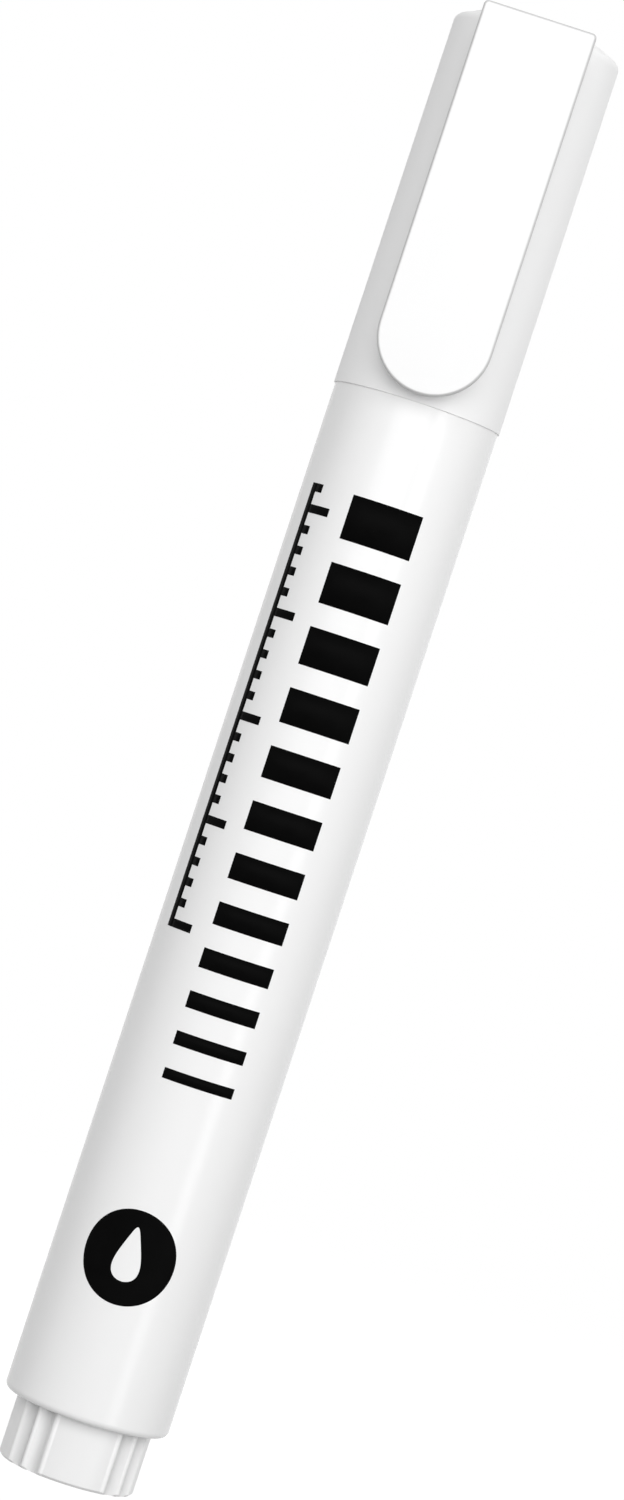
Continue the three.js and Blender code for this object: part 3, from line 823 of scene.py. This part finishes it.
def clip_outline(inset):
    """The blade's outline, drawn in by an inset: tip arc, right side, top corners and left side."""
    half = clip_half - inset
    bend = clip_corner - inset
    tip_centre = clip_tip + clip_half
    top_line = clip_top - inset
    straight_end = top_line - bend
    tip = np.linspace(math.pi, 2 * math.pi, tip_points)
    quarter = np.linspace(0, math.pi / 2, corner_points)[1:]
    going_up = np.linspace(tip_centre, straight_end, side_points + 1)[1:]
    going_left = np.linspace(half - bend, bend - half, side_points + 1)[1:]
    going_down = np.linspace(straight_end, tip_centre, side_points + 1)[1:-1]
    parts = [
        (half * np.cos(tip), tip_centre + half * np.sin(tip)),
        (np.full(len(going_up), half), going_up),
        (half - bend + bend * np.cos(quarter), straight_end + bend * np.sin(quarter)),
        (going_left, np.full(len(going_left), top_line)),
        (bend - half - bend * np.sin(quarter), straight_end + bend * np.cos(quarter)),
        (np.full(len(going_down), -half), going_down),
    ]
    return np.hstack(parts).T


def clip_face(depth, crown, shares):
    """Loops from the middle line (share 0) out to the flat's edge (share 1) at one depth.

    With a crown, a loop lies further back by the crown times the square of its share.
    """
    rim = clip_outline(clip_edge)
    middle_z = np.clip(rim[:, 1], clip_tip + clip_half, clip_top - clip_half)
    middle = np.column_stack([np.zeros(len(rim)), middle_z])
    loops = middle + (rim - middle) * shares[:, None, None]
    depths = depth + crown * shares[:, None] ** 2 * np.ones(len(rim))
    return np.stack([loops[..., 0], depths, loops[..., 1]], axis=-1)


def edge_loop(inset, depth):
    """One loop of the rounded edge: the outline at an inset, laid at a depth."""
    return np.insert(clip_outline(inset), 1, depth, axis=1)


face_shares = np.array([0, 0.25, 0.5, 0.75, 0.9, 0.985, 1])
edge_turns = np.linspace(0, math.pi / 2, edge_steps + 1)
edge_in = clip_edge * (1 - np.sin(edge_turns))
edge_deep = clip_edge * (1 - np.cos(edge_turns))
front_flat = clip_front + clip_crown
clip_points = np.concatenate([
    clip_face(clip_back, 0.0, face_shares),
    [edge_loop(inset, clip_back - deep) for inset, deep in zip(edge_in, edge_deep)],
    [edge_loop(inset, front_flat + deep) for inset, deep in zip(edge_deep, edge_in)],
    clip_face(clip_front, clip_crown, face_shares[::-1]),
])
print("clip blade:", clip_points.shape[0], "loops of", clip_points.shape[1], "points")

# %% Paint shade on the blade's edge and fit it
# Painted shade on the rounded edge: full at the outline, fading to none on the flats.
painted_shade_rise = 2
edge_shade = np.minimum(1, painted_shade_rise * np.cos(edge_turns))
flat_shade = np.zeros(len(face_shares))
row_shade = np.concatenate([flat_shade, edge_shade[::-1], edge_shade, flat_shade])
clip_painted_shade = np.broadcast_to(row_shade[:, None], clip_points.shape[:2])
clip_blade = skin("clip_blade", clip_points, rows_close=False, shade=clip_painted_shade)
fit(clip_blade, "clip", "clip_plastic", "clip")


# %% [markdown]
# The clip's root, tongue and grip
# Behind the blade a short root goes through the cap's slot, and a flat tongue reaches under the
# crown, which holds the clip down. The tongue tapers on its under-side, because its end dips when
# the clip flexes. Near the tip a low ridge on the back grips the pocket's cloth. The root with its
# tongue and the grip are each one section carried in a straight line, so a single function makes
# both.

# %% Build the root, the tongue and the grip
def bar_along_x(name, section, half, middle):
    """A closed section of (y, z) points carried from -half to +half along x, with flat ends.

    The ends are fans round a middle point that sees the whole outline.
    """
    point = np.broadcast_to(middle, section.shape)
    rings = zip((point, section, section, point), (-half, -half, half, half))
    points = np.stack([np.insert(ring, 0, end, axis=1) for ring, end in rings])
    return skin(name, points, rows_close=False)


tongue_end = -4.15
tongue_taper = 0.25
root_end = -7.0
root_top = clip_top - clip_edge
into_blade = 0.4
root_section = rounded([
    (clip_back - into_blade, tongue_under, 0.05),
    (tongue_end, tongue_under + tongue_taper, 0.15),
    (tongue_end, tongue_top, 0.15),
    (root_end, tongue_top, 0.05),
    (root_end, root_top, 0.1),
    (clip_back - into_blade, root_top, 0.05),
])
root_middle = (clip_back + into_blade, (tongue_under + tongue_top) / 2)
clip_root = bar_along_x("clip_root", root_section, tongue_half, root_middle)
fit(clip_root, "clip", "clip_plastic")

grip_rise = 3.2
grip_height = 0.35
grip_half_width = 0.7
grip_half_length = 2.5
grip_columns = 40
grip_turns = np.linspace(0, 2 * math.pi, grip_columns, endpoint=False)
grip_section = np.column_stack([
    clip_back + grip_height * np.cos(grip_turns),
    clip_tip + grip_rise + grip_half_width * np.sin(grip_turns),
])
clip_grip = bar_along_x("clip_grip", grip_section, grip_half_length, grip_section.mean(axis=0))
fit(clip_grip, "clip", "clip_plastic")


# %% [markdown]
# The nose and the nib
# Under the cap the nose hollows in towards a bullet nib. Both outlines could be drawn by hand as
# Bezier curves, but a formula gives a clean curve with as many points as are wanted. The nose's
# curve is a parabola from the seal land to the tip. The nib is a round felt rod whose point is half
# an ellipse.

# %% Turn the nose
nose_radius, skirt_foot, nose_tip = reach("nib_holder")
flange_thick = 1.2
land_length = 3.5
seal_land = 5.45
cone_foot = 5.05
cone_points = 30
cone_stop = 0.6
tip_radius = 2.9
tip_rim = 0.5
nose_bore = 2.45
skirt_radius = 5.3
skirt_bore = 4.4
chamber_roof = 0.6
foot_hold = 0.5
flange_foot = neck_top + rest_gap
flange_top = flange_foot + flange_thick
land_top = flange_top + land_length
chamber_top = flange_top - chamber_roof

climb = np.linspace(0, 1, cone_points)[1:-1]
cone = np.column_stack([
    tip_radius + (cone_foot - tip_radius) * (1 - climb) ** 2,
    land_top + (nose_tip - land_top) * climb,
])
cone = cone[cone[:, 1] < nose_tip - cone_stop]
nose_low = rounded([
    (skirt_bore, skirt_foot, 0),
    (skirt_radius, skirt_foot, 0.1),
    (skirt_radius, flange_foot, 0.05),
    (nose_radius, flange_foot, 0.1),
    (nose_radius, flange_top, 0.15),
    (seal_land, flange_top, 0.1),
    (seal_land, land_top, 0.15),
    (cone_foot, land_top, 0),
], closed=False)
nose_high = rounded([
    (tip_radius, nose_tip - tip_rim, 0),
    (tip_radius, nose_tip, 0.15),
    (nose_bore, nose_tip, 0.1),
    (nose_bore, chamber_top + skirt_bore - nose_bore, 0.1),
    (skirt_bore, chamber_top, 0.1),
    (skirt_bore, skirt_foot + foot_hold, 0),
], closed=False)
nose_skin = turned("nose_skin", np.vstack([nose_low, cone, nose_high]), columns=128)
fit(nose_skin, "barrel", "nose_plastic", "nib_holder")

# %% Turn the nib
nib_radius, nib_foot, nib_tip = reach("nib")
bullet = 4.2
bullet_rows = 24
shank_hold = 1.0
foot_bevel = 0.45
swell = np.linspace(0, math.pi / 2, bullet_rows)
bullet_points = np.column_stack([
    nib_radius * np.cos(swell),
    nib_tip - bullet * (1 - np.sin(swell)),
])
bullet_points[-1, 0] = 0
nib_low = rounded([
    (0, nib_foot, 0),
    (nib_radius - foot_bevel, nib_foot, 0.1),
    (nib_radius, nib_foot + foot_bevel, 0.1),
    (nib_radius, nib_tip - bullet - shank_hold, 0),
], closed=False)
nib_skin = turned("nib_skin", np.vstack([nib_low, bullet_points]), columns=96, closed=False)
fit(nib_skin, "nib", "nib_felt", "nib")


# %% [markdown]
# The inner cap
# A second, smaller cup hangs inside the cap and closes on the nose, so the nib can't dry out. It is
# held by a post that plugs into the crown. The post could be a cylinder joined to the cup, but that
# would leave its end as a face inside the plastic. So cup and post are one outline, turned as the
# barrel is.

# %% Turn the inner cap
inner_radius, inner_foot, post_top = reach("inner_cap")
inner_bore = 5.65
cover_radius = 4.7
cover_bore = 3.9
step_clearance = 0.4
cover_overlap = (nose_tip - land_top) / 6
nib_clearance = 1.0
roof_thick = 0.8
post_radius = 2.0
step_height = land_top + step_clearance
cover_height = nose_tip - cover_overlap
roof = nib_tip + nib_clearance
roof_top = roof + roof_thick

inner_cap_outline = rounded([
    (inner_bore, inner_foot, 0),
    (inner_radius, inner_foot, 0.2),
    (inner_radius, step_height, 0.5),
    (cover_radius, cover_height, 0.8),
    (cover_radius, roof_top, 0.4),
    (post_radius, roof_top, 0.1),
    (post_radius, post_top, 0.3),
    (0, post_top, 0),
], closed=False)
inner_cap_inside = rounded([
    (0, roof, 0),
    (cover_bore, roof, 0.3),
    (cover_bore, cover_height, 0.8),
    (inner_bore, step_height, 0.4),
    (inner_bore, inner_foot + foot_hold, 0),
], closed=False)
inner_points = np.vstack([inner_cap_outline, inner_cap_inside])
inner_cap_skin = turned("inner_cap_skin", inner_points, columns=128)
fit(inner_cap_skin, "cap", "nose_plastic", "inner_cap")


# %% [markdown]
# The valve
# Pressing the nib pushes a stem down, takes a rubber seal off its seat and lets ink through; a coil
# spring closes it again. The casing and the seal are turned. The notched stem is already exact as
# CAD and only needs its finish. The Screw modifier could wind the spring, but with the same pitch
# all along. So the spring is a tube carried along a helix whose rise is worked out point by point:
# its two end turns lie closer than the open turns between them. It shortens when the valve opens.
# Both ends of the wire close on a repeated row of the grid that has no thickness.

# %% Turn the casing and the seal
casing_radius, casing_foot, casing_top = reach("valve_casing")
casing_wall_radius = 4.25
casing_bore = 3.45
seat_hole = 1.9
casing_flange = 1.5
casing_floor = 1.5
casing_flange_top = casing_foot + casing_flange
casing_floor_top = casing_foot + casing_floor
casing_outline = rounded([
    (seat_hole, casing_foot, 0.1),
    (casing_radius, casing_foot, 0.15),
    (casing_radius, casing_flange_top, 0.1),
    (casing_wall_radius, casing_flange_top, 0.1),
    (casing_wall_radius, casing_top, 0.1),
    (casing_bore, casing_top, 0.1),
    (casing_bore, casing_floor_top, 0.2),
    (seat_hole, casing_floor_top, 0.1),
])
casing_skin = turned("casing_skin", casing_outline, columns=96)
fit(casing_skin, "barrel", "valve_plastic", "valve_casing")

seal_radius, seal_foot, seal_top = reach("valve_seal")
seal_bore = 1.15
seal_foot_wall = 0.75
lip = (seal_top - seal_foot) / 3
seal_outline = rounded([
    (seal_bore, seal_foot, 0.1),
    (seal_bore + seal_foot_wall, seal_foot, 0.2),
    (seal_radius, seal_top - lip, 0.2),
    (seal_radius, seal_top - lip / 2, 0.1),
    (seal_radius - lip / 2, seal_top, 0.1),
    (seal_bore, seal_top, 0.1),
])
seal_skin = turned("seal_skin", seal_outline, columns=80)
fit(seal_skin, "valve", "seal_rubber", "valve_seal")

# %% Wind the spring
spring_radius, spring_foot, spring_top = reach("valve_spring")
wire = 0.45
end_pitch = 0.9
open_turns = 4
steps_in_turn = 48
wire_sides = 14
spring_height = spring_top - spring_foot
turn_count = open_turns + 2
wire_places = np.linspace(0, turn_count, turn_count * steps_in_turn + 1)
open_rise = spring_height - wire - 2 * end_pitch
rise = np.interp(
    wire_places,
    [0, 1, turn_count - 1, turn_count],
    [0, end_pitch, end_pitch + open_rise, 2 * end_pitch + open_rise],
)
rise = np.pad(rise, 1, mode="edge")
wound = np.pad(wire_places * 2 * math.pi, 1, mode="edge")
wire_reach = np.pad(np.full(len(wire_places), wire / 2), 1)[:, None]
round_wire = np.linspace(0, 2 * math.pi, wire_sides, endpoint=False)
coil = spring_radius - wire / 2 + wire_reach * np.cos(round_wire)
coil_height = (spring_foot + wire / 2 + rise)[:, None] - wire_reach * np.sin(round_wire)
spring_points = round_axis(coil, wound[:, None], coil_height)
spring = skin("valve_coil", spring_points, rows_close=False)
fit(spring, "barrel", "spring_steel", "valve_spring")
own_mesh(spring)


# %% [markdown]
# The mixing ball
# A steel ball lies in the plug's cup and stirs the ink when the marker is shaken. Blender has a
# sphere ready to add, but here the ball is turned like the other round pieces, from half a circle,
# and takes its size and place from the CAD ball in the same way.

# %% Turn the ball
ball_radius, ball_foot, ball_top = reach("mixing_ball")
ball_rows = 33
sweep = np.linspace(-math.pi / 2, math.pi / 2, ball_rows)
ball_outline = np.column_stack([
    ball_radius * np.cos(sweep),
    (ball_foot + ball_top) / 2 + ball_radius * np.sin(sweep),
])
ball_outline[[0, -1], 0] = 0
ball = turned("steel_ball", ball_outline, columns=64, closed=False)
fit(ball, "ball", "ball_steel", "mixing_ball")


# %% [markdown]
# Finishes for the pieces that stay CAD
# The crown and the valve's stem could be made again too. But the stem's notches and fins are flat,
# so the CAD mesh already draws them exactly, and the crown shows only a plain top above the cap. So
# both keep their CAD meshes and only get a finish.

# %% Dress the crown and the stem
for node, slot in (("crown_plug", "cap_plastic"), ("valve_rod", "valve_plastic")):
    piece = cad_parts[node]
    piece.data.materials.clear()
    piece.data.materials.append(finishes[slot])
    print(node, "wears", finishes[slot].name)


# %% [markdown]
# The print
# The barrel carries a black print along its front. It holds nothing to read: a broad column of bars
# that grow wider, a plain ruler beside it, and a round badge with a hole in the shape of a drop.
# Ink on plastic has a thickness, however thin, so each mark is a small sheet bent round the barrel
# and thickened with Solidify, and not a picture on the surface.

# %% Bend marks round the barrel
ink_proud = 0.015
ink_sunk = 0.02
strip_width = 0.25


def on_barrel(arc, height):
    """Points on the barrel from an arc length, counted from the clip towards +X, and a height."""
    return round_axis(barrel_radius + ink_proud, clip_side + arc / barrel_radius, height)


def printed(name, sheets):
    """One object from several sheets of points, thickened into a film of ink.

    Each sheet comes with a flag that says whether its columns close into a ring.
    """
    patches = [skin(name, sheet, rows_close=False, columns_close=loops) for sheet, loops in sheets]
    print_mesh = bmesh.new()
    for patch in patches:
        print_mesh.from_mesh(patch.data)
    mark = patches[0]
    print_mesh.to_mesh(mark.data)
    print_mesh.free()
    for patch in patches[1:]:
        spare = patch.data
        bpy.data.objects.remove(patch)
        bpy.data.meshes.remove(spare)
    film = mark.modifiers.new("ink_film", "SOLIDIFY")
    film.thickness = (ink_proud + ink_sunk) * MM
    film.offset = -1
    mark.name = name
    fit(mark, "barrel", "print_ink")


def stroke(left, right, low, high):
    """A stroke between two arc lengths and two heights, as an open sheet cut into narrow strips."""
    columns = max(3, int((right - left) / strip_width))
    arc, height = np.meshgrid(np.linspace(left, right, columns), np.linspace(low, high, 3))
    return on_barrel(arc, height), False


def arc_at(degrees_from_camera):
    """Arc length of a direction that is counted from the camera's."""
    return (math.radians(degrees_from_camera) + turn_round_marker) * barrel_radius


print("ink film", ink_proud, "mm proud")

# %% Print the growing bars
scale_left = arc_at(-22)
scale_right = arc_at(28)
scale_low = 38.2
scale_high = 94.1
thin_line = 1.0
thick_line = 4.2
line_count = 12
line_widths = np.linspace(thin_line, thick_line, line_count)
line_gap = (scale_high - scale_low - line_widths.sum()) / (line_count - 1)
line_lows = scale_low + np.concatenate([[0], np.cumsum(line_widths[:-1] + line_gap)])
printed("print_line_widths", [
    stroke(scale_left, scale_right, low, low + width)
    for low, width in zip(line_lows, line_widths)
])

# %% Print the ruler
ruler_left = arc_at(-60)
ruler_right = arc_at(-36)
ruler_low = 51.4
ruler_high = 93.4
tick_pitch = 2.0
tick_width = 0.8
rule_width = 0.75
long_tick_every = 5
short_tick_end = (ruler_left + ruler_right) / 2
ticks = np.arange(ruler_low, ruler_high, tick_pitch)
is_long = np.arange(len(ticks)) % long_tick_every == 0
tick_ends = np.where(is_long, ruler_right, short_tick_end)
ruler_sheets = [
    stroke(ruler_left + rule_width, end, low, low + tick_width)
    for low, end in zip(ticks, tick_ends)
]
ruler_sheets.append(stroke(ruler_left, ruler_left + rule_width, ruler_low, ticks[-1] + tick_width))
printed("print_ruler", ruler_sheets)

# %% Print the badge
badge_arc = arc_at(-5)
badge_height = 21.7
badge_radius = 4.45
drop_round = 1.55
drop_tip = 2.9
drop_foot = -2.25
tip_fullness = 0.35
foot_fullness = 1.3
drop_taper = 1.4
badge_columns = 96
badge_rows = 14


def drop_outline(turns):
    """A drop: a circle whose upper part is drawn out to a point.

    The height runs from the tip to the round foot as a cosine. The width is a sine times a
    fullness, which grows from the tip's to the foot's by the power drop_taper.
    """
    towards_foot = ((1 - np.cos(turns)) / 2) ** drop_taper
    fullness = tip_fullness + (foot_fullness - tip_fullness) * towards_foot
    middle = (drop_tip + drop_foot) / 2
    half_height = (drop_tip - drop_foot) / 2
    width = drop_round * np.sin(turns) * fullness
    return np.column_stack([width, middle + half_height * np.cos(turns)])


around = np.linspace(0, 2 * math.pi, badge_columns, endpoint=False)
inner_edge = drop_outline(around)
outer_edge = badge_radius * np.column_stack([np.sin(around), np.cos(around)])
spread = np.linspace(0, 1, badge_rows)[:, None, None]
badge_rings = outer_edge + (inner_edge - outer_edge) * spread
# The rings are laid on mirrored, from right to left, so that their faces point outwards.
badge_sheet = on_barrel(badge_arc - badge_rings[..., 0], badge_height + badge_rings[..., 1])
printed("print_badge", [(badge_sheet, True)])
